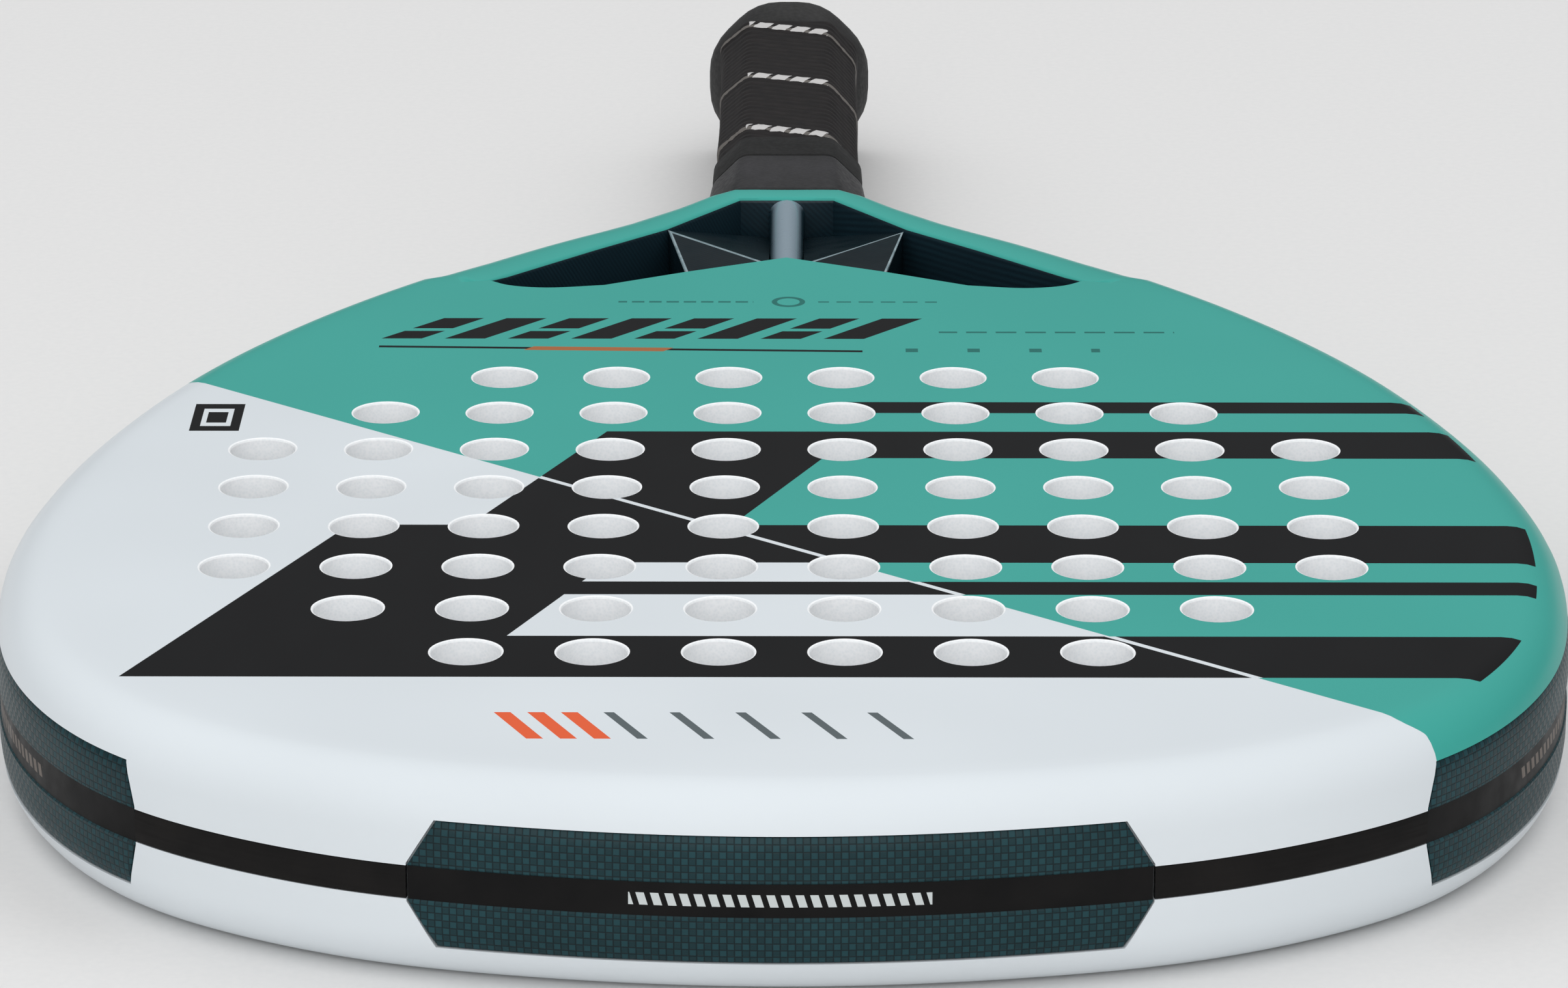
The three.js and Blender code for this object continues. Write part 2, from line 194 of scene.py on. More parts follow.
def makeLaminate():
    d = printDesign
    add, finish = newMaterial("satinPrintedLaminate", Roughness=0.3, IOR=1.5, Specular_IOR_Level=0.06)
    place = millimetres(add)
    x, y, z = add("SeparateXYZ", {0: place}, output=None)
    nx, ny = d["splitNormal"]
    ahead = add("Math", {0: x, 1: nx}, **times)
    across = add("Math", {0: y, 1: ny, 2: ahead}, **timesPlus)
    rear = add("Math", {0: z, 1: midZ}, operation="LESS_THAN")
    across = add("Math", {0: rear, 1: -d["rearShift"], 2: across}, **timesPlus)
    # on the rim the white swells out to meet the end of the right side guard
    rising, falling = [
        add("MapRange", {0: z, 1: low, 2: high}, interpolation_type="SMOOTHSTEP")
        for low, high in (d["swellFrom"], d["swellTo"])
    ]
    swell = add("Math", {0: rising, 1: falling}, **times)
    edgeAt = add("Math", {0: swell, 1: d["guardReach"], 2: d["splitAt"]}, **timesPlus)
    mintSide = add("Math", {0: across, 1: edgeAt}, operation="GREATER_THAN")
    white = linear(d["inks"]["white"])
    colour = add("Mix", {0: mintSide, 6: white, 7: linear(d["inks"]["mint"])}, **colourMix)

    level = add("Math", {0: z, 1: midZ}, operation="SUBTRACT")
    height = add("Math", {0: level}, operation="ABSOLUTE")
    flat = add("Math", {0: height, 1: midZ - d["flatDepth"]}, operation="GREATER_THAN")

    # big slanted blocks, crossed by the thin line between the two colours
    leaned = add("Math", {0: y, 1: -d["lean"], 2: x}, **timesPlus)
    blocks = either(add, [patch(add, leaned, y, box) for box in d["blocks"]])
    nearSplit = add("Math", {0: across, 1: d["splitAt"], 2: d["splitHalf"]}, operation="COMPARE")
    thinLine = add("Math", {0: nearSplit, 1: blocks}, **times)

    # row of slanted bars with an underline, between the drilled field and the throat
    steep = add("Math", {0: y, 1: -d["barLean"], 2: x}, **timesPlus)
    row = patch(add, steep, y, d["barBox"], barRow(add, steep, *d["bars"]))
    slot = add("Math", {0: y, 1: d["slotAt"], 2: d["slotHalf"]}, operation="COMPARE")
    slotted = add("Math", {0: slot, 1: barRow(add, steep, *d["slots"])}, **times)
    row = add("Math", {0: row, 1: slotted}, operation="SUBTRACT", use_clamp=True)
    underY = add("Math", {0: x, 1: d["underRise"], 2: y}, **timesPlus)
    under = patch(add, x, underY, d["underBox"])
    copper = patch(add, steep, underY, d["copperBox"])
    dashes = [patch(add, x, y, box, barRow(add, x, *bars)) for box, bars in d["dashes"]]

    # plain ring between the dashes
    offset = add("VectorMath", {0: place, 1: d["ringAt"]}, operation="SUBTRACT")
    flatOffset = add("VectorMath", {0: offset, 1: (1, 1, 0)}, **times)
    length = add("VectorMath", {0: flatOffset}, output="Value", operation="LENGTH")
    ring = add("Math", {0: length, 1: d["ringRadius"], 2: d["ringHalf"]}, operation="COMPARE")

    # dark block by the left rim, with a pale frame inside
    block = patch(add, x, y, d["block"])
    frameOut = patch(add, x, y, d["frameOut"])
    frameIn = patch(add, x, y, d["frameIn"])
    paleFrame = add("Math", {0: frameOut, 1: frameIn}, operation="SUBTRACT", use_clamp=True)

    # slim slanted strokes near the tip
    slim = add("Math", {0: y, 1: -d["strokeLean"], 2: x}, **timesPlus)
    strokes = patch(add, slim, y, d["strokeBox"], barRow(add, slim, *d["strokes"]))
    orange = patch(add, slim, y, d["orangeBox"], barRow(add, slim, *d["orangeStrokes"]))

    for mask, ink in (
        (blocks, "black"), (thinLine, "white"), (either(add, [row, under]), "black"),
        (either(add, dashes), "teal"), (copper, "copper"), (ring, "teal"), (block, "black"),
        (paleFrame, "white"), (strokes, "grey"), (orange, "orange"),
    ):
        printed = add("Math", {0: mask, 1: flat}, **times)
        colour = add("Mix", {0: printed, 6: colour, 7: linear(d["inks"][ink])}, **colourMix)

    # slight shade changes in the lacquer, faint rubbed patches, and orange peel
    cloud = add("TexNoise", sized(place, 45, 1.0))
    cloudy = add("MapRange", {0: cloud, 1: 0.1, 2: 0.9, 3: 0.96, 4: 1.035})
    shade = add("HueSaturation", {"Value": cloudy, "Color": colour})
    drawn = add("VectorMath", {0: place, 1: (1, 0.35, 1)}, **times)
    rubbed = add("TexNoise", sized(drawn, 9, 1.0))
    peel = add("TexNoise", sized(place, 3, 0.0))
    return finish(shade, peel, 0.003, rubbed, (0.27, 0.33), (0.1, 0.9))


# Clear coated carbon: near-black laminate under a thick polished coat, with sharp reflections
def makeGlossCarbon(name, dark, light, level, coat, crown=None):
    add, finish = newMaterial(
        name, Roughness=0.3, IOR=1.5, Specular_IOR_Level=level, Coat_Weight=coat, Coat_Roughness=0.1,
        Coat_IOR=1.5)
    place = millimetres(add)
    threads = add("TexWave", {"Vector": place, "Scale": 0.5, "Distortion": 0.6}, bands_direction="DIAGONAL")
    cloud = add("TexNoise", sized(place, 12, 3.0))
    amount = add("Math", {0: threads, 1: cloud}, **times)
    colour = add("Mix", {0: amount, 6: linear(dark), 7: linear(light)}, **colourMix)
    if crown:  # painted highlight, a pale silver-blue that fades down from the crown of the rib, heights in mm
        _, _, z = add("SeparateXYZ", {0: place}, output=None)
        crownHighlight = add("MapRange", {0: z, 1: crown[0], 2: crown[1]}, interpolation_type="SMOOTHSTEP")
        colour = add("Mix", {0: crownHighlight, 6: colour, 7: linear("#8496A2")}, **colourMix)
    polish = add("TexNoise", sized(place, 5))
    waves = add("TexNoise", sized(place, 6, 0.0))
    return finish(colour, waves, 0.006, polish, (0.24, 0.36))


# Edge lines of the throat facets: painted highlight, a thin pale colour on the bevelled edges for the light
# they catch, a soft light line
def makePaintedEdgeHighlight():
    add, finish = newMaterial("paintedEdgeHighlight", Roughness=0.4, IOR=1.5)
    place = millimetres(add)
    highlightTones = add("TexNoise", sized(place, 3))
    strokes = add("TexNoise", sized(place, 1.5))
    return finish(mottle(add, highlightTones, "#6F858D", "#9AADB3"), strokes, 0.01)


# EVA foam: closed cells cut by a drill, pale and matte with tiny pits
def makeFoam():
    add, finish = newMaterial(
        "drilledEvaFoam", Roughness=0.85, IOR=1.45, Specular_IOR_Level=0.2, Sheen_Weight=0.2)
    place = millimetres(add)
    cells = add("TexVoronoi", {"Vector": place, "Scale": 1 / 0.5})  # real cells of 0.2 mm, drawn coarser
    worn = add("TexNoise", sized(place, 2))
    colour = mottle(add, cells, "#F1F4F6", "#FCFDFE", (0.0, 0.8))
    return finish(colour, cells, 0.012, worn, (0.78, 0.92))


# Woven carbon guard: dark teal fabric under satin lacquer, square crossings that catch the light in turn
guardLook = {"tow": 1.15, "thread": "#1C3E44", "crossThread": "#163136", "gap": "#0A1619"}


def makeWovenGuard():
    add, finish = newMaterial(
        "satinWovenCarbon", Roughness=0.4, IOR=1.5, Specular_IOR_Level=0.14, Coat_Weight=0.08,
        Coat_Roughness=0.25)
    d = guardLook
    surface = add("UVMap", uv_map="surface")  # mm along the piece and across it
    cells = add("VectorMath", {0: surface, 1: (1 / d["tow"], 1 / d["tow"], 1)}, **times)
    squares = {"Vector": cells, "Scale": 1.0, "Color1": (0, 0, 0, 1), "Color2": (1, 1, 1, 1)}
    checks = add("TexChecker", squares)
    part = add("VectorMath", {0: cells}, operation="FRACTION")
    fromMiddle = []
    for side in add("SeparateXYZ", {0: part}, output=None)[:2]:
        centred = add("Math", {0: side, 1: 0.5}, operation="SUBTRACT")
        fromMiddle.append(add("Math", {0: centred}, operation="ABSOLUTE"))
    gap = add("MapRange", {0: either(add, fromMiddle), 1: 0.36, 2: 0.5})
    crossed = {0: checks, 6: linear(d["crossThread"]), 7: linear(d["thread"])}
    colour = add("Mix", crossed, **colourMix)
    colour = add("Mix", {0: gap, 6: colour, 7: linear(d["gap"])}, **colourMix)
    cloud = add("TexNoise", sized(millimetres(add), 14, 3.0))
    cloudy = add("MapRange", {0: cloud, 1: 0.3, 2: 0.7, 3: 0.86, 4: 1.14})
    shade = add("HueSaturation", {"Value": cloudy, "Color": colour})
    crown = add("Math", {0: 1.0, 1: gap}, operation="SUBTRACT")
    return finish(shade, crown, 0.04, checks, (0.36, 0.5), (0.0, 1.0))


# Band across a guard: black enamel, screen printed with a row of short pale strokes
bandLook = {"lean": 0.3, "half": 1.0, "strokes": (2.2, 0.58, 0.4)}


def makeGuardBand(name, centre, half, ink):
    # centre and half length of the row of strokes, in mm along the rim from the tip
    d = bandLook
    add, finish = newMaterial(name, Roughness=0.42, IOR=1.5, Specular_IOR_Level=0.12)
    u, v, _ = add("SeparateXYZ", {0: add("UVMap", uv_map="surface")}, output=None)
    leaned = add("Math", {0: v, 1: d["lean"], 2: u}, **timesPlus)
    box = (centre - half, centre + half, -d["half"], d["half"])
    row = patch(add, u, v, box, barRow(add, leaned, *d["strokes"]))
    place = millimetres(add)
    cloud = add("TexNoise", sized(place, 9))
    base = mottle(add, cloud, "#0B0B0C", "#131212")
    colour = add("Mix", {0: row, 6: base, 7: linear(ink)}, **colourMix)
    rubbed = add("TexNoise", sized(place, 4))
    peel = add("TexNoise", sized(place, 1.2))
    return finish(colour, peel, 0.012, rubbed, (0.38, 0.5))


# Rubber edge strip: extruded, matte black with faint lengthwise drawing lines
def makeEdgeRubber():
    add, finish = newMaterial("extrudedEdgeRubber", Roughness=0.55, IOR=1.52, Specular_IOR_Level=0.12)
    drawn = add("VectorMath", {0: add("UVMap", uv_map="surface"), 1: (0.05, 1, 1)}, **times)
    lines = add("TexNoise", sized(drawn, 0.6))
    cloud = add("TexNoise", sized(millimetres(add), 11, 4.0))
    return finish(mottle(add, cloud, "#0D0C0C", "#181615"), lines, 0.02, lines, (0.46, 0.62))


# Grip tape: coated polyurethane, ribbed by its mould, tacky and matte, with a pale stitched edge that also
# carries a painted highlight, and painted shade in the grooves between the ribs
gripLook = {
    "pitch": 38.2, "firstSeam": 130.6, "rib": 3.0, "seam": (0.1, 1.2), "stitchBox": (-8.4, 8.2, 0.0, 3.2),
    "stitchLean": 0.5, "stitches": (3.9, 0.74, 0.2), "dark": "#171516", "light": "#2A2727",
    "grooveShade": "#1A1817", "seamThreadAndHighlight": "#8C8782", "thread": "#C9C7C6",
}


def makeGripTape():
    d = gripLook
    add, finish = newMaterial(
        "mouldedGripTape", Roughness=0.72, IOR=1.48, Specular_IOR_Level=0.1, Sheen_Weight=0.02,
        Sheen_Roughness=0.5)
    place = millimetres(add)
    # u goes round the handle, and phase along it less the helix
    u, phase, _ = add("SeparateXYZ", {0: add("UVMap", uv_map="surface")}, output=None)
    turns = add("Math", {0: phase, 1: 1 / d["pitch"]}, **times)
    turn = add("Math", {0: turns}, operation="FRACT")
    fromSeam = add("Math", {0: turn, 1: d["pitch"]}, **times)
    line = patch(add, u, fromSeam, (-400, 400, *d["seam"]))  # all the way round
    leaned = add("Math", {0: fromSeam, 1: -d["stitchLean"], 2: u}, **timesPlus)
    stitches = patch(add, u, fromSeam, d["stitchBox"], barRow(add, leaned, *d["stitches"]))
    mottled = add("TexNoise", sized(place, 3.2, 5.0))
    angle = add("Math", {0: phase, 1: 2 * math.pi / d["rib"]}, **times)
    ribs = add("Math", {0: angle}, operation="SINE")
    colour = mottle(add, mottled, d["dark"], d["light"])
    # painted shade: the grooves between the moulded ribs are darkened
    grooveShadeMask = add("MapRange", {0: ribs, 1: -0.2, 2: -1.0, 3: 0, 4: 0.5})
    # the faint pale line along each seam is a stitched edge and a painted highlight on the step of the tape
    seamLineAndHighlight = add("Math", {0: line, 1: 0.55}, **times)
    for mask, ink in ((grooveShadeMask, "grooveShade"), (seamLineAndHighlight, "seamThreadAndHighlight"), (stitches, "thread")):
        colour = add("Mix", {0: mask, 6: colour, 7: linear(d[ink])}, **colourMix)
    grain = add("TexVoronoi", {"Vector": place, "Scale": 1 / 1.1})
    ribbed = add("Bump", {"Height": ribs, "Distance": 0.03 * mm, "Strength": 1.0})
    return finish(colour, grain, 0.05, mottled, (0.62, 0.82), under=ribbed)


# Moulded rubber: collar and butt cap, dull black with a fine spark-eroded texture and slight bloom
def makeMouldedRubber(name, dark, light, middle):
    add, finish = newMaterial(name, Roughness=middle, IOR=1.52, Specular_IOR_Level=0.25)
    place = millimetres(add)
    drawn = add("VectorMath", {0: place, 1: (1, 0.5, 1)}, **times)
    bloom = add("TexNoise", sized(drawn, 8, 5.0))
    grain = add("TexNoise", sized(place, 0.9, 3.0))  # real grain of 0.3 mm, drawn coarser
    rough = (middle - 0.08, middle + 0.1)
    return finish(mottle(add, bloom, dark, light), grain, 0.03, grain, rough)


# Drawn steel: cold drawn wire, fine lines along its length
def makeDrawnSteel():
    add, finish = newMaterial("drawnSteel", Metallic=1.0, Roughness=0.3)
    drawn = add("VectorMath", {0: millimetres(add), 1: (0.06, 1, 1)}, **times)
    lines = add("TexNoise", sized(drawn, 0.4))
    return finish(mottle(add, lines, "#8E9296", "#B4B7BA"), lines, 0.01, lines, (0.22, 0.4))


laminate = makeLaminate()
glossCarbon = makeGlossCarbon("clearCoatedCarbon", "#15242C", "#1D343D", 0.12, 0.12)
# a lighter copy of the clear-coated carbon, with a painted highlight fading down from the rib's crown
ribCarbon = makeGlossCarbon("paintedHighlightRibCarbon", "#15242C", "#24434D", 0.12, 0.4, (31.3, 33.3))
# a darker, duller copy of the clear-coated carbon for the web facets: the darker colour is painted shade
webCarbon = makeGlossCarbon("shadedDullClearCoatedCarbon", "#0D181D", "#12252D", 0.04, 0.0)
edgeHighlightPaint = makePaintedEdgeHighlight()
foam = makeFoam()
wovenGuard = makeWovenGuard()
tipBand = makeGuardBand("tipBandEnamel", 0.0, 23.0, "#C9CFCF")
sideBand = makeGuardBand("sideBandEnamel", 150.0, 16.0, "#6B625B")
otherBand = makeGuardBand("otherBandEnamel", -150.0, 16.0, "#6B625B")
edgeRubber = makeEdgeRubber()
gripTape = makeGripTape()
collarRubber = makeMouldedRubber("mouldedCollarRubber", "#1A1A1B", "#2B2A2D", 0.5)
buttRubber = makeMouldedRubber("mouldedButtRubber", "#202020", "#2F2E2E", 0.62)
cushionRubber = makeMouldedRubber("foamedCushionTape", "#191919", "#242424", 0.8)
drawnSteel = makeDrawnSteel()
print("materials made:", len(bpy.data.materials))


# Mesh helpers
sharpAngle = 32  # degrees, above which an edge is shaded sharp


def placePiece(name, mesh, replaced):
    piece = bpy.data.objects.new(name, mesh)
    bpy.context.scene.collection.objects.link(piece)
    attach(piece, "root")
    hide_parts(*replaced)
    return piece


def addPiece(name, vertices, faces, materials, replaced, slots=None, coords=None, wrap=None,
             sharp=sharpAngle):
    # vertices in mm; slots gives each face's material; coords each vertex's surface place in mm;
    # wrap is the distance round a closed piece
    mesh = bpy.data.meshes.new(name)
    mesh.from_pydata([[c * mm for c in v] for v in vertices], [], faces)
    for material in materials:
        mesh.materials.append(material)
    if slots:
        mesh.polygons.foreach_set("material_index", slots)
    if coords:
        layer = mesh.uv_layers.new(name="surface")
        for polygon in mesh.polygons:
            places = [list(coords[v]) for v in polygon.vertices]
            reach = max(p[0] for p in places)
            for loop, place in zip(polygon.loop_indices, places):
                if wrap and reach - place[0] > wrap / 2:  # the face that closes the round
                    place = [place[0] + wrap, place[1] + gripLook["pitch"]]
                layer.data[loop].uv = place
    tidyMesh(mesh, sharp)
    return placePiece(name, mesh, replaced)


def tidyMesh(mesh, sharp=sharpAngle):
    work = bmesh.new()
    work.from_mesh(mesh)
    bmesh.ops.remove_doubles(work, verts=work.verts, dist=2e-6)
    bmesh.ops.recalc_face_normals(work, faces=work.faces)
    work.to_mesh(mesh)
    work.free()
    mesh.shade_smooth()
    mesh.set_sharp_from_angle(angle=math.radians(sharp))


def ringFaces(total, count, closedLoop=False, caps=False):
    # quads between rings of equal size; caps close the first and the last ring
    faces = []
    for i in range(total if closedLoop else total - 1):
        low = i * count
        high = ((i + 1) % total) * count
        for j in range(count):
            k = (j + 1) % count
            faces.append((low + j, low + k, high + k, high + j))
    if caps:
        faces.append(tuple(range(count)))
        faces.append(tuple((total - 1) * count + j for j in reversed(range(count))))
    return faces


# Rim: outer edge of the frame on the +X side from the tip to the neck, in mm
outline = [
    (0, -227.5), (38, -224.2), (72, -215.2), (104.5, -194.5), (123.5, -162), (130, -117),
    (127, -84), (119, -51.5), (105.5, -17.5), (84.7, 16.6), (55, 50.9), (26, 77),
]
rimRound = 10.2
rimSpacing = 2.0
smoothPasses = 30
tipPoints = 20  # points over which the tip is put back in its place


def curveThrough(points, steps):
    # centripetal Catmull-Rom curve
    first = [2 * a - b for a, b in zip(points[0], points[1])]
    last = [2 * a - b for a, b in zip(points[-1], points[-2])]
    guide = [Vector(p) for p in [first, *points, last]]
    result = []
    for i in range(1, len(guide) - 2):
        four = guide[i - 1:i + 3]
        knots = [0.0]
        for a, b in zip(four, four[1:]):
            knots.append(knots[-1] + math.sqrt((b - a).length))
        for step in range(steps):
            t = mixed(knots[1], knots[2], step / steps)
            level = four
            for pairs in ([(0, 1), (1, 2), (2, 3)], [(0, 2), (1, 3)], [(1, 2)]):
                level = [
                    p.lerp(q, (t - knots[a]) / (knots[b] - knots[a]))
                    for (a, b), p, q in zip(pairs, level, level[1:])
                ]
            result.append(level[0])
    result.append(Vector(points[-1]))
    return result


def evenly(points, spacing):
    lengths = [0.0]
    for a, b in zip(points, points[1:]):
        lengths.append(lengths[-1] + (b - a).length)
    count = max(2, round(lengths[-1] / spacing))
    result = []
    k = 0
    for i in range(count + 1):
        target = lengths[-1] * i / count
        while k < len(lengths) - 2 and lengths[k + 1] < target:
            k += 1
        share = (target - lengths[k]) / (lengths[k + 1] - lengths[k])
        result.append(points[k].lerp(points[k + 1], kept01(share)))
    return result


def stationsOf(points):
    # place, outward normal and distance along for each point of an edge
    stations = []
    travelled = 0.0
    for i, point in enumerate(points):
        before = points[max(i - 1, 0)]
        after = points[min(i + 1, len(points) - 1)]
        heading = (after - before).normalized()
        travelled += (point - before).length if i else 0
        stations.append({"at": point, "out": Vector((heading.y, -heading.x)), "along": travelled})
    return stations


curveSteps = 30
mirroredStart = (-outline[1][0], outline[1][1])  # so that the curve is level at the tip
sideCurve = evenly(curveThrough([mirroredStart, *outline], curveSteps)[curveSteps:], rimSpacing)
for _ in range(smoothPasses):  # even out the curvature, mirrored at the tip
    ahead = [Vector((-sideCurve[1].x, sideCurve[1].y)), *sideCurve[:-1]]
    behind = [*sideCurve[1:], sideCurve[-1]]
    smooth = [p.lerp((a + b) / 2, 0.5) for a, p, b in zip(ahead, sideCurve, behind)]
    sideCurve = [*smooth[:-1], sideCurve[-1]]
shiftToTip = sideCurve[0].y - outline[0][1]
for k, point in enumerate(sideCurve):
    point.y -= shiftToTip * max(0, 1 - k / tipPoints)
rim = stationsOf([Vector((-p.x, p.y)) for p in reversed(sideCurve[1:])] + sideCurve)
tipIndex = len(sideCurve) - 1
tipAlong = rim[tipIndex]["along"]
for station in rim:
    station["along"] -= tipAlong


def rimAt(along):
    k = 1
    while k < len(rim) - 1 and rim[k]["along"] < along:
        k += 1
    a, b = rim[k - 1], rim[k]
    share = (along - a["along"]) / (b["along"] - a["along"])
    return {"at": a["at"].lerp(b["at"], share), "out": a["out"].lerp(b["out"], share).normalized()}


def rimDepth(z):
    # how far the rounded rim stands back from its outermost line at height z
    reach = max(abs(z - midZ) - (midZ - rimRound), 0)
    return rimRound - math.sqrt(rimRound ** 2 - min(reach, rimRound) ** 2)


# Frame: one ring. Each section runs from the outer edge to an inner place: the edge of the face skin
# round the head, the edge of the open throat, and the middle of the neck at the end.
frameShape = {
    "skinInset": 12.0, "skinEndY": 33.5, "neckPath": [(17.4, 83.6), (11.5, 86.6), (7, 87.0), (0, 87.0)],
    "throatPlaces": [(38.0, (55.5, 26.5)), (56.0, (36.5, 46.6)), (69.0, (23.0, 60.0)), (83.6, (9.0, 79.3))],
    "throatFillet": 1.1, "armRound": 11.2, "neckRound": 2.6,
    "roundShare": 0.72, "roundLimit": 16.4, "roundSteps": 8, "filletSteps": 3,
    "neckEnd": 79.3, "neckSpacing": 1.6, "neckFromY": 70, "neckTail": 8, "neckPower": 1.2,
    "armFromX": 17.0, "armBlend": 8, "throatFrom": 2, "filletBlend": 4,  # blends count points of the rim
}


def frameSide():
    # outer and inner places of the right half, from the tip to the middle of the neck
    d = frameShape
    side = rim[tipIndex:]
    neck = evenly([side[-1]["at"].copy(), *[Vector(p) for p in d["neckPath"]]], d["neckSpacing"])[1:]
    outer = [s["at"] for s in side] + neck
    widest = max(range(len(outer)), key=lambda k: outer[k].x)
    inner = [s["at"] - s["out"] * d["skinInset"] for s in side]
    lastSkin = max(k for k in range(widest, len(side)) if outer[k].y <= d["skinEndY"])
    anchors = [(lastSkin, inner[lastSkin])]
    arm = [k for k in range(lastSkin + 1, len(outer)) if outer[k].x >= d["armFromX"]]
    for y, place in d["throatPlaces"]:
        index = min(arm, key=lambda k: abs(outer[k].y - y))
        anchors.append((index, Vector(place)))
    anchors.append((len(outer) - 1, Vector((0, d["neckEnd"]))))
    inner = inner[:lastSkin + 1]
    for (i, a), (j, b) in zip(anchors, anchors[1:]):
        for k in range(i + 1, j + 1):
            inner.append(a.lerp(b, (k - i) / (j - i)))
    return outer, inner, lastSkin


outerSide, innerSide, lastSkin = frameSide()


def frameSection(outer, inner, roundness, fillet):
    # closed section: lower and upper outer rounding, then upper and lower fillet of the inner wall
    d = frameShape
    width = (inner - outer).length
    inward = (inner - outer).normalized()
    low = min(roundness, width * d["roundShare"], d["roundLimit"])
    profile = []
    for step in range(d["roundSteps"] + 1):
        angle = math.radians(90 * step / d["roundSteps"])
        profile.append((low - low * math.sin(angle), low - low * math.cos(angle)))
    profile += [(t, topZ - z) for t, z in reversed(profile)]
    start = width - fillet
    turns = [math.radians(90 * step / d["filletSteps"]) for step in range(d["filletSteps"] + 1)]
    profile += [(start + fillet * math.sin(a), topZ - fillet + fillet * math.cos(a)) for a in turns]
    profile += [(start + fillet * math.cos(a), fillet - fillet * math.sin(a)) for a in turns]
    return [(outer.x + inward.x * t, outer.y + inward.y * t, z) for t, z in profile]


innerWallFaces = range(20, 24)  # faces of a section that are dark carbon in the throat


def makeFrame():
    d = frameShape
    rings = []
    inThroat = []
    total = len(outerSide)
    neckStart = total - sum(1 for p in outerSide if p.y > d["neckFromY"])
    for side in (1, -1):
        picks = range(total) if side == 1 else range(total - 2, 0, -1)
        for k in picks:
            toArm = kept01((k - lastSkin) / d["armBlend"])
            toNeck = kept01((k - neckStart) / (total - d["neckTail"] - neckStart)) ** d["neckPower"]
            roundness = mixed(mixed(rimRound, d["armRound"], toArm), d["neckRound"], toNeck)
            fillet = d["throatFillet"] * kept01((k - lastSkin - d["throatFrom"]) / d["filletBlend"])
            outer = Vector((outerSide[k].x * side, outerSide[k].y))
            inner = Vector((innerSide[k].x * side, innerSide[k].y))
            rings.append(frameSection(outer, inner, roundness, fillet))
            inThroat.append(k > lastSkin + d["throatFrom"])
    count = len(rings[0])
    faces = ringFaces(len(rings), count, closedLoop=True)
    slots = [int(j in innerWallFaces and dark) for dark in inThroat for j in range(count)]
    vertices = [v for ring in rings for v in ring]
    return addPiece("frameShell", vertices, faces, [laminate, glossCarbon],
                    ("head_frame", "neck_block"), slots=slots)


# Guards and edge strips, let into the rim
guardShape = {
    "half": 10.25, "point": 4.5, "bluntPoint": 1.8, "pointHalf": 2.9, "depth": 1.1, "proud": 0.12,
    "band": 2.75, "bandSunk": 0.15, "edge": 0.3, "gap": 0.22,
}
stripShape = {"half": 2.6, "depth": 0.8, "proud": 0.1, "gap": 0.15, "endGap": 0.4}
cutterShape = {"levels": [-20, 0, 20], "outside": 3.0, "spacing": 3.0, "deeper": 0.1}
guardSpans = [
    ("tipGuard", "tip_guard", -57.2, 57.2, tipBand),
    ("rightSideGuard", "right_side_guard", 106.6, 268.0, sideBand),
    ("leftSideGuard", "left_side_guard", -268.0, -106.6, otherBand),
]
stripSpans = [
    ("frontRightStrip", "edge_strip_front_right", 57.45, 106.35),
    ("frontLeftStrip", "edge_strip_front_left", -106.35, -57.45),
    ("rearRightStrip", "edge_strip_rear_right", 268.25, 352.0),
    ("rearLeftStrip", "edge_strip_rear_left", -352.0, -268.25),
]


def rimStops(start, end, spacing, extra=()):
    count = max(2, round((end - start) / spacing))
    stops = {round(mixed(start, end, k / count), 4) for k in range(count + 1)}
    return sorted(stops | {round(e, 4) for e in extra})


def rimSolid(start, end, halfAt, levels, outerAt, depth, spacing=rimSpacing, extra=()):
    # solid that follows the rim: halfAt(along) is its half height, and outerAt(level, half) is how
    # proud it stands
    vertices = []
    coords = []
    stops = rimStops(start, end, spacing, extra)
    for along in stops:
        station = rimAt(along)
        half = halfAt(along)
        line = [max(min(level, half), -half) for level in levels]
        places = [(rimDepth(midZ + v) - outerAt(v, half), v) for v in line]
        places += [(depth + rimDepth(midZ + half), half), (depth + rimDepth(midZ - half), -half)]
        for t, v in places:
            at = station["at"] - station["out"] * t
            vertices.append((at.x, at.y, midZ + v))
            coords.append((along, v))
    return vertices, ringFaces(len(stops), len(levels) + 2, caps=True), coords


def guardLevels(band, half):
    # heights of the lines that run along a guard, close together at the band's edge
    close = 0.25
    up = [band / 2, band - close, band, band + close]
    up += [mixed(band + close, half - guardShape["edge"], k / 5) for k in range(1, 6)] + [half]
    return [-v for v in reversed(up)] + [0] + up


def guardHalf(start, end, grow=0.0):
    # half height along a guard with pointed ends; the ends nearer the tip of a side guard are blunter
    d = guardShape
    startPoint = d["bluntPoint"] if start > 0 else d["point"]
    endPoint = d["bluntPoint"] if end < 0 else d["point"]

    def halfAt(along):
        reach = min((along - start + grow) / startPoint, (end - along + grow) / endPoint)
        return mixed(d["pointHalf"], d["half"], kept01(reach)) + grow

    return halfAt, [start - grow + startPoint, end + grow - endPoint]


def makeGuard(name, node, start, end, band):
    d = guardShape
    levels = guardLevels(d["band"], d["half"])
    halfAt, corners = guardHalf(start, end)

    def outerAt(level, half):
        if abs(level) <= d["band"]:
            return -d["bandSunk"]
        return d["proud"] * kept01((half - abs(level)) / d["edge"])

    stops = [start + d["edge"], *corners, end - d["edge"]]
    vertices, faces, coords = rimSolid(start, end, halfAt, levels, outerAt, d["depth"], 1.5, stops)
    slots = [
        int(len(face) == 4 and all(abs(coords[v][1]) <= d["band"] + 0.01 for v in face)) for face in faces
    ]
    addPiece(name, vertices, faces, [wovenGuard, band], (node,), slots, coords)


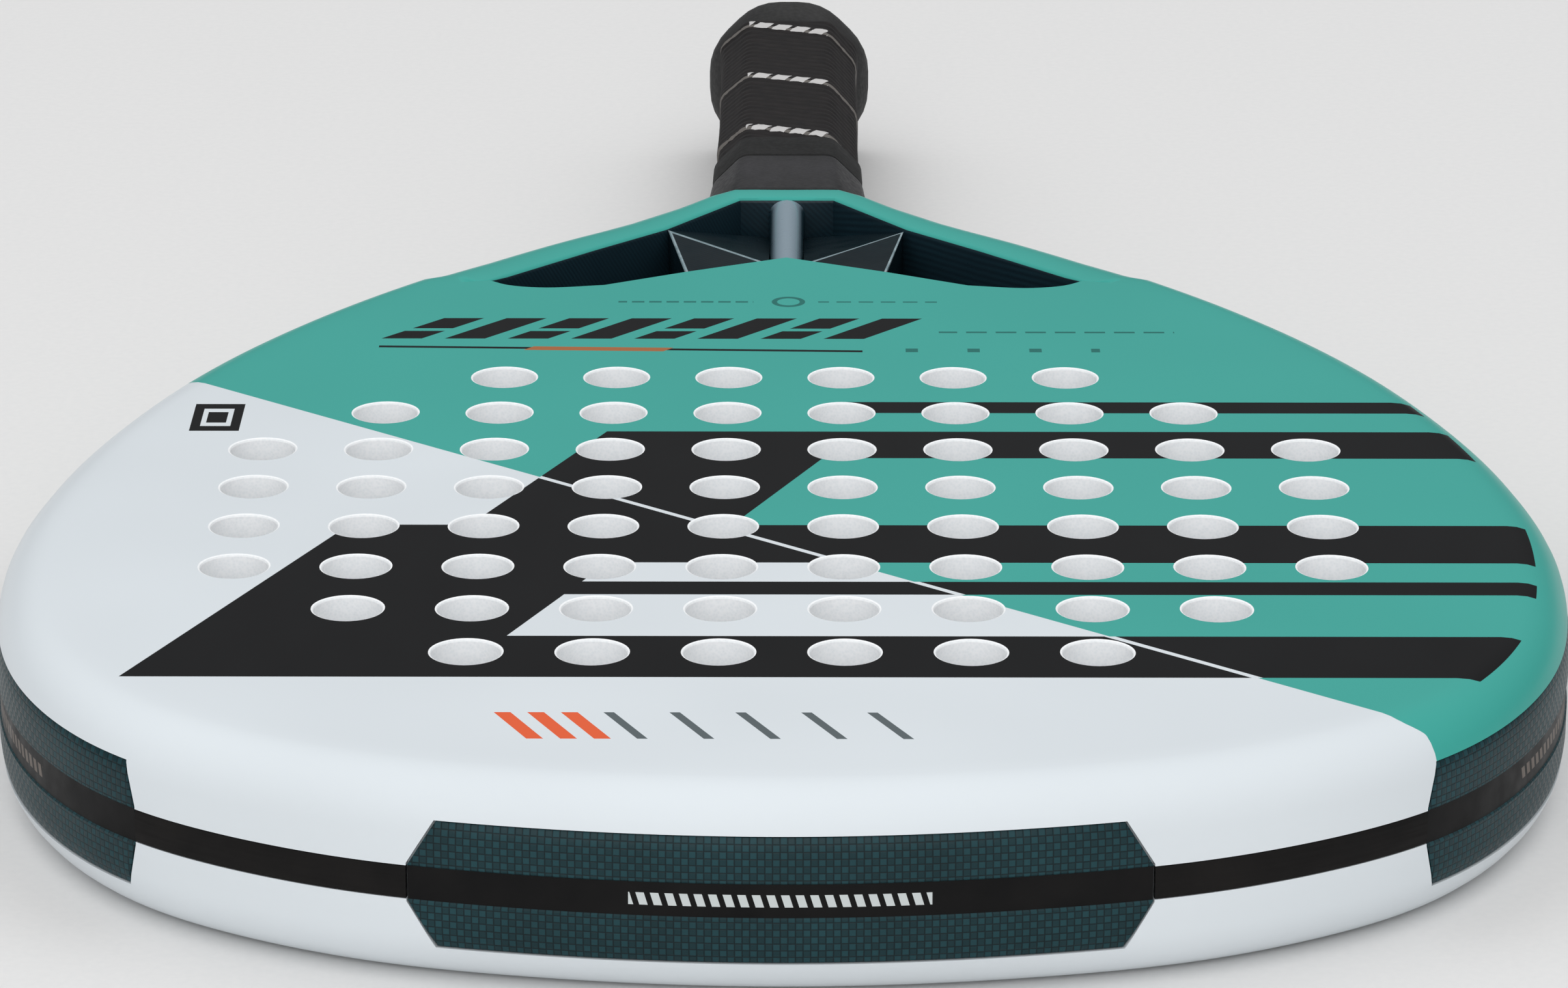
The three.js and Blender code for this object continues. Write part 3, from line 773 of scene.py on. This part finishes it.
def makeStrip(name, node, start, end):
    d = stripShape
    levels = [d["half"] * v for v in (-1, -0.94, -0.6, -0.2, 0.2, 0.6, 0.94, 1)]
    vertices, faces, coords = rimSolid(
        start, end, lambda along: d["half"], levels,
        lambda level, half: d["proud"] * (1 - (level / half) ** 4), d["depth"])
    addPiece(name, vertices, faces, [edgeRubber], (node,), coords=coords)


def cutRecesses(piece, cutters):
    # the recesses that the guards and strips lie in
    for vertices, faces, _ in cutters:
        mesh = bpy.data.meshes.new("cutter")
        mesh.from_pydata([[c * mm for c in v] for v in vertices], [], faces)
        tidyMesh(mesh)
        cutter = bpy.data.objects.new("cutter", mesh)
        bpy.context.scene.collection.objects.link(cutter)
        modifier = piece.modifiers.new("recess", "BOOLEAN")
        modifier.operation = "DIFFERENCE"
        modifier.solver = "EXACT"
        modifier.object = cutter
        bpy.context.view_layer.update()
        graph = bpy.context.evaluated_depsgraph_get()
        result = bpy.data.meshes.new_from_object(piece.evaluated_get(graph))
        piece.modifiers.clear()
        piece.data = result
        bpy.data.objects.remove(cutter)
    tidyMesh(piece.data)


frameShell = makeFrame()
print("frame ring:", len(frameShell.data.polygons), "faces")


def recessSolid(start, end, halfAt, depth, corners=()):
    d = cutterShape
    return rimSolid(start, end, halfAt, d["levels"], lambda level, half: d["outside"],
                    depth + d["deeper"], d["spacing"], corners)


def guardCutter(start, end):
    gap = guardShape["gap"]
    halfAt, corners = guardHalf(start, end, gap)
    return recessSolid(start - gap, end + gap, halfAt, guardShape["depth"], corners)


def stripCutter(start, end):
    d = stripShape
    half = d["half"] + d["gap"]
    return recessSolid(start - d["endGap"], end + d["endGap"], lambda along: half, d["depth"])


cutRecesses(frameShell, [guardCutter(start, end) for _, _, start, end, _ in guardSpans])
cutRecesses(frameShell, [stripCutter(start, end) for _, _, start, end in stripSpans])
for span in guardSpans:
    makeGuard(*span)
for span in stripSpans:
    makeStrip(*span)
print("guards and strips set in the rim")


# Drilled head: two face skins, the foam core, and the bridge that closes the head at the throat
headShape = {
    "holeRadius": 5.6, "holeSteps": 44, "lip": 0.4, "pitchX": 20.05, "pitchY": 19.5,
    "counts": [6, 8, 10, 10, 10, 10, 8, 6], "firstRow": -30.5, "skin": 1.7, "clear": 0.12,
    "lipEdge": 0.12, "coreEndY": 8.0, "bridgeGap": 0.3, "throatSteps": 8, "throatSpacing": 1.5,
    "throatEdge": [(55.5, 26.5), (52, 23.6), (45, 22), (34, 23.6), (18.4, 32), (0, 40.8)],
}
holeCentres = []
for row, amount in enumerate(headShape["counts"]):
    y = headShape["firstRow"] - row * headShape["pitchY"]
    holeCentres += [((i - (amount - 1) / 2) * headShape["pitchX"], y) for i in range(amount)]


def circle(centre, radius):
    steps = headShape["holeSteps"]
    turns = [2 * math.pi * k / steps for k in range(steps)]
    return [(centre[0] + radius * math.cos(a), centre[1] + radius * math.sin(a)) for a in turns]


def bothSides(half):
    # closed outline from a half that runs from the tip to the middle on +X
    return half + [Vector((-p.x, p.y)) for p in reversed(half) if p.x > 0.01]


def addPlate(name, node, materials, edge, levels, holes=(), sharp=50):
    # plate between the first and last level, drilled through; levels lists (z, hole radius)
    vertices = []
    faces = []

    def addLoop(loop, z):
        start = len(vertices)
        vertices.extend((p[0], p[1], z) for p in loop)
        return list(range(start, len(vertices)))

    edgeLoops = [addLoop(edge, z) for z, _ in levels]
    holeLoops = [[addLoop(circle(c, radius), z) for z, radius in levels] for c in holes]
    slots = []
    for loops, index in [(edgeLoops, 0), *[(h, 1) for h in holeLoops]]:
        for upper, lower in zip(loops, loops[1:]):
            for j in range(len(upper)):
                k = (j + 1) % len(upper)
                faces.append((upper[j], upper[k], lower[k], lower[j]))
                slots.append(index)
    for level in (0, -1):
        loops = [edgeLoops[level], *[h[level] for h in holeLoops]]
        flat = [v for loop in loops for v in loop]
        for triangle in tessellate_polygon([[Vector(vertices[v]) for v in loop] for loop in loops]):
            faces.append(tuple(flat[v] for v in triangle))
            slots.append(0)
    addPiece(name, vertices, faces, materials, (node,), slots=slots, sharp=sharp)


def insetEdge(inset, endY):
    half = [s["at"] - s["out"] * inset for s in rim[tipIndex:]]
    widest = max(range(len(half)), key=lambda k: half[k].x)
    last = max(k for k in range(widest, len(half)) if half[k].y < endY - 0.5)
    a, b = half[last], half[last + 1]
    kept = half[:last + 1]
    kept[0] = Vector((0, kept[0].y))
    return [*kept, a.lerp(b, (endY - a.y) / (b.y - a.y))]


throatBend, throatStraight = headShape["throatEdge"][:4], headShape["throatEdge"][4:]
throatSide = evenly(curveThrough(throatBend, headShape["throatSteps"]), headShape["throatSpacing"])
throatSide += [Vector(p) for p in throatStraight]
skinEdge = bothSides([Vector((0, innerSide[0].y)), *innerSide[1:lastSkin + 1], *throatSide])


def makeHead():
    d = headShape
    r, edge, skin = d["holeRadius"], d["lipEdge"], d["skin"]
    topLevels = [(topZ, r + d["lip"]), (topZ - edge, r + edge), (topZ - d["lip"], r), (topZ - skin, r)]
    rearLevels = [(topZ - z, radius) for z, radius in topLevels]
    for name, node, levels in (
        ("frontSkin", "front_face_skin", topLevels), ("rearSkin", "rear_face_skin", rearLevels),
    ):
        addPlate(name, node, [laminate, foam], skinEdge, levels, holeCentres, 12)
    inset = frameShape["skinInset"] + d["clear"]
    coreEdge = bothSides([*insetEdge(inset, d["coreEndY"]), Vector((0, d["coreEndY"]))])
    coreLevels = [(topZ - skin, r), (midZ, r), (skin, r)]
    addPlate("drilledCore", "foam_core", [foam, foam], coreEdge, coreLevels, holeCentres)

    bridgeY = d["coreEndY"] + d["bridgeGap"]
    start = insetEdge(inset, bridgeY)[-1]
    outer = [p for p in insetEdge(inset, innerSide[lastSkin].y) if p.y > bridgeY]
    bridgeEdge = bothSides([Vector((0, bridgeY)), start, *outer, *throatSide])
    addPlate("throatBridge", "throat_bridge", [glossCarbon], bridgeEdge, coreLevels)


makeHead()
print("head drilled:", len(holeCentres), "holes")

# Throat: a rounded rib on the centre line and a faceted web on each side with painted highlight lines on
# some edges
throatShape = {
    "ribHalf": 3.2, "ribHeight": 33.2, "ribFrom": 40.4, "ribTo": 79.3,
    "flare": 1.12, "flareLength": 1.5,  # the rib spreads a little into the head and the neck
    # corners of a web: x, y and half its height there
    "corners": [
        (3.3, 39.8, 16.0), (3.3, 79.0, 9.0), (5.8, 79.0, 8.6), (22.7, 59.7, 16.4), (18.6, 32.3, 16.1),
    ],
    "lines": ((3, 0), (3, 4)), "line": 0.5,  # pairs of corners with a pale painted highlight line between, and its width
}


def makeRib():
    d = throatShape
    start, end, half = d["ribFrom"], d["ribTo"], d["ribHalf"]
    crownZ = d["ribHeight"] / 2 - half
    angles = [math.pi * k / 12 for k in range(13)]
    arc = [(half * math.cos(a), crownZ + half * math.sin(a)) for a in angles]
    section = arc + [(-x, -z) for x, z in arc]
    places = [start, start + d["flareLength"], (start + end) / 2, end - d["flareLength"], end]
    swell = [d["flare"], 1.0, 1.0, 1.0, d["flare"]]
    vertices = [(x * s, y, midZ + z) for y, s in zip(places, swell) for x, z in section]
    faces = ringFaces(len(places), len(section), caps=True)
    addPiece("throatRib", vertices, faces, [ribCarbon], ("throat_rib",))


def makeWeb(name, node, side):
    # side is 1 for +X and -1 for -X
    d = throatShape
    work = bmesh.new()
    for x, y, half in d["corners"]:
        for sign in (1, -1):
            work.verts.new((side * x * mm, y * mm, (midZ + sign * half) * mm))
    hull = bmesh.ops.convex_hull(work, input=work.verts)
    loose = [g for g in hull["geom_interior"] + hull["geom_unused"] if isinstance(g, bmesh.types.BMVert)]
    bmesh.ops.delete(work, geom=loose, context="VERTS")
    bmesh.ops.dissolve_limit(work, angle_limit=math.radians(0.5), verts=work.verts, edges=work.edges)

    def isAt(vert, corner):
        x, y, half = d["corners"][corner]
        return abs(vert.co.x - side * x * mm) < 1e-5 and abs(vert.co.y - y * mm) < 1e-5

    pale = []
    for edge in work.edges:
        a, b = edge.verts
        sameFace = (a.co.z - midZ * mm) * (b.co.z - midZ * mm) > 0
        for first, second in d["lines"]:
            onLine = isAt(a, first) and isAt(b, second) or isAt(b, first) and isAt(a, second)
            if sameFace and onLine:
                pale.append(edge)
    bmesh.ops.bevel(
        work, geom=pale, offset=d["line"] * mm, segments=2, profile=0.6, affect="EDGES", material=1)
    mesh = bpy.data.meshes.new(name)
    work.to_mesh(mesh)
    work.free()
    mesh.materials.append(webCarbon)
    mesh.materials.append(edgeHighlightPaint)
    tidyMesh(mesh, 12)
    placePiece(name, mesh, (node,))


makeRib()
makeWeb("throatWebRight", "throat_web_right", 1)
makeWeb("throatWebLeft", "throat_web_left", -1)
print("throat built")

# Handle: octagonal pieces, given as rings of (y, width, height)
handleShape = {
    "grip": {
        "width": 28.4, "height": 30.4, "from": 112.2, "to": 214.4, "flareFrom": 200, "flareWidth": 29.6,
        "flareHeight": 31.4, "spacing": 0.55, "overlap": 0.42, "lead": 0.02, "rib": 0.09, "sunk": 0.1,
        "endRound": 0.8, "endDrop": 0.5, "wall": 0.9, "flarePower": 1.6, "boreRound": 1.2,
    },
    "collar": [
        (87.1, 32.2, 32.4), (87.6, 33.0, 33.2), (89.5, 33.2, 33.4), (96, 32.3, 33.0), (104, 31.2, 32.5),
        (110.5, 30.5, 32.2), (111.6, 30.3, 32.0), (112, 29.8, 31.6),
    ],
    "collarBore": [(112, 24.3, 26.3), (87.1, 24.3, 26.3)],
    "tape": [
        (112.5, 29.4, 31.4), (112.8, 30.0, 32.0), (118, 30.1, 32.1), (124.8, 29.9, 31.9),
        (125.6, 29.3, 31.3),
    ],
    "tapeBore": [(125.6, 28.2, 30.2), (112.5, 28.2, 30.2)],
    "butt": [
        (214.4, 29.0, 31.0), (214.9, 29.8, 31.6), (217, 31.4, 32.6), (219.5, 33.4, 33.6),
        (221.2, 34.2, 34.0), (223.2, 34.4, 34.0), (225.4, 33.8, 33.6), (226.8, 32.8, 32.6),
        (227.5, 31.0, 31.0),
    ],
    "buttCorner": 0.29, "buttRound": 5.2,
    # inside the cap: width, height, corner, rounding, and the places of the rings; from the lip of
    # the cord hole through the hole and the bore to the skirt that stands in the handle
    "capInside": [
        (12.2, 8.2, 1.8, 0.8, (227.5,)), (11, 7, 1.4, 0.6, (227.2, 223.5)),
        (16, 18, 3.2, 1.0, (223.5, 206.6)), (20.2, 22.2, 4, 1.0, (206.6, 214.4)),
    ],
    "cornerShare": 0.2, "cornerRound": 1.6,
}


def octagonRing(width, height, corner, roundness, arcSteps=4):
    # rounded octagon, clockwise in x and z from the middle of the top, with the distance walked round it
    halfX, halfZ = width / 2, height / 2
    quarter = [(halfX - corner, halfZ), (halfX, halfZ - corner)]
    right = quarter + [(x, -z) for x, z in reversed(quarter)]
    corners = [Vector(p) for p in right + [(-x, z) for x, z in reversed(right)]]
    top = Vector((0, halfZ))
    points = [top]
    for k, point in enumerate(corners):
        before = corners[k - 1] if k else top
        after = corners[k + 1] if k < 7 else top
        start = point + (before - point).normalized() * roundness
        end = point + (after - point).normalized() * roundness
        points.append((before + point) / 2 if k else (before + start) / 2)
        for step in range(arcSteps + 1):
            t = step / arcSteps
            points.append(start.lerp(point, t).lerp(point.lerp(end, t), t))
    points.append((points[-1] + points[0]) / 2)
    walked = [0.0]
    for a, b in zip(points, points[1:]):
        walked.append(walked[-1] + (b - a).length)
    total = walked[-1] + (points[0] - points[-1]).length
    walked = [w if w <= total / 2 else w - total for w in walked]
    return points, walked, total


def octagonLoft(rings, corner=handleShape["cornerShare"], roundness=handleShape["cornerRound"]):
    vertices = []
    for y, width, height in rings:
        points, _, _ = octagonRing(width, height, corner * width, roundness)
        vertices += [(p.x, y, midZ + p.y) for p in points]
    return vertices, len(points)


def makeGrip():
    # spiral wound tape: a step at each turn, and moulded ribs that run with it
    d = handleShape["grip"]
    look = gripLook
    vertices, coords = [], []
    corner = d["width"] * handleShape["cornerShare"]
    steps = round((d["to"] - d["from"]) / d["spacing"])
    for i in range(steps + 1):
        y = mixed(d["from"], d["to"], i / steps)
        flare = max(0, (y - d["flareFrom"]) / (d["to"] - d["flareFrom"])) ** d["flarePower"]
        width = mixed(d["width"], d["flareWidth"], flare)
        height = mixed(d["height"], d["flareHeight"], flare)
        flaredCorner = width * handleShape["cornerShare"]
        points, walked, total = octagonRing(width, height, flaredCorner, handleShape["cornerRound"])
        edge = min((y - d["from"]) / d["endRound"], (d["to"] - y) / d["endRound"], 1)
        for point, u in zip(points, walked):
            phase = y - look["firstSeam"] + look["pitch"] * (1 + u / total)
            turn = (phase / look["pitch"]) % 1.0
            step = d["overlap"] * ((1 - turn) ** 3 if turn > d["lead"] else turn / d["lead"])
            rib = d["rib"] * math.sin(2 * math.pi * phase / look["rib"])
            grow = 1 + (step + rib - d["sunk"] - d["endDrop"] * (1 - edge)) / point.length
            vertices.append((point.x * grow, y, midZ + point.y * grow))
            coords.append((u, phase))
    bore = (d["width"] - d["wall"] * 2, d["height"] - d["wall"] * 2)
    for y in (d["to"], d["from"]):
        points, walked, total = octagonRing(*bore, corner, d["boreRound"])
        vertices += [(p.x, y, midZ + p.y) for p in points]
        coords += [(u, y) for u in walked]
    faces = ringFaces(steps + 3, len(points), closedLoop=True)
    addPiece("overgripWrap", vertices, faces, [gripTape], ("overgrip",), coords=coords,
             wrap=total, sharp=50)


def makeSleeve(name, node, slot, material, rings, inside, sharp, **shape):
    # closed sleeve, from the rings of its outside and the points of its inside
    vertices, count = octagonLoft(rings, **shape)
    vertices += inside
    faces = ringFaces(len(vertices) // count, count, closedLoop=True)
    addPiece(name, vertices, faces, [material], (node,), sharp=sharp)


def makeHandle():
    d = handleShape
    makeSleeve("neckCollar", "neck_collar", "collar_rubber", collarRubber, d["collar"],
               octagonLoft(d["collarBore"])[0], 28)
    makeSleeve("finishingTape", "finishing_tape", "edge_rubber", cushionRubber, d["tape"],
               octagonLoft(d["tapeBore"])[0], 40)
    makeGrip()
    inside = []
    for width, height, corner, roundness, places in d["capInside"]:
        points, _, _ = octagonRing(width, height, corner, roundness)
        inside += [(p.x, y, midZ + p.y) for y in places for p in points]
    makeSleeve("buttCap", "butt_cap", "collar_rubber", buttRubber, d["butt"], inside, 28,
               corner=d["buttCorner"], roundness=d["buttRound"])


makeHandle()
for node, material in (
    ("handle_shell", glossCarbon), ("base_grip", cushionRubber), ("handle_foam_core", foam),
    ("cord_anchor_pin", drawnSteel),
):
    bpy.data.objects[node].material_slots[0].material = material
print("handle wrapped")


# Studio, in metres: a pale floor, a bright sky that dims towards the horizon, and two soft lights
studio = {
    "floorSize": 6.0, "floor": "#E8E7E6", "floorFibre": "#DFDFDF",
    "sky": "#F4F5F6", "horizon": "#56585A", "skyRise": (0.15, 0.8), "skyStrength": 1.12,
    "lights": [  # name, place, aim, size, power
        ("overheadLight", (0.0, -0.1, 1.9), (0, 0, 0), 2.4, 5.0),
        ("tipLight", (-0.2, -2.3, 0.62), (0, -0.1, 0), 2.2, 27.0),
    ],
}


def makeStudio():
    d = studio
    half = d["floorSize"] / 2
    mesh = bpy.data.meshes.new("studioFloor")
    square = [(-half, -half, 0), (half, -half, 0), (half, half, 0), (-half, half, 0)]
    mesh.from_pydata(square, [], [(0, 1, 2, 3)])
    floor = bpy.data.objects.new("studioFloor", mesh)
    add, finish = newMaterial("matteStudioPaper", Roughness=0.95, Specular_IOR_Level=0.0)
    fibre = add("TexNoise", sized(millimetres(add), 1.5, 3.0))
    share = add("MapRange", {0: fibre, 1: 0.3, 2: 0.7, 3: 0, 4: 0.3})
    paper = {0: share, 6: linear(d["floor"]), 7: linear(d["floorFibre"])}
    mesh.materials.append(finish(add("Mix", paper, **colourMix)))
    bpy.context.scene.collection.objects.link(floor)
    world = bpy.data.worlds.new("studioSky")
    world.use_nodes = True
    add = partial(addNode, world.node_tree)
    background = world.node_tree.nodes["Background"]
    _, _, upward = add("SeparateXYZ", {0: add("TexCoord", output="Generated")}, output=None)
    low, high = d["skyRise"]
    share = add("MapRange", {0: upward, 1: low, 2: high})
    colour = add("Mix", {0: share, 6: linear(d["horizon"]), 7: linear(d["sky"])}, **colourMix)
    world.node_tree.links.new(colour, background.inputs["Color"])
    background.inputs["Strength"].default_value = d["skyStrength"]
    bpy.context.scene.world = world
    for name, place, aim, size, power in d["lights"]:
        data = bpy.data.lights.new(name, "AREA")
        data.size = size
        data.energy = power
        light = bpy.data.objects.new(name, data)
        light.location = place
        light.rotation_euler = (Vector(aim) - Vector(place)).to_track_quat("-Z", "Y").to_euler()
        bpy.context.scene.collection.objects.link(light)
    bpy.context.scene.view_settings.view_transform = "Standard"


makeStudio()
print("studio lit")
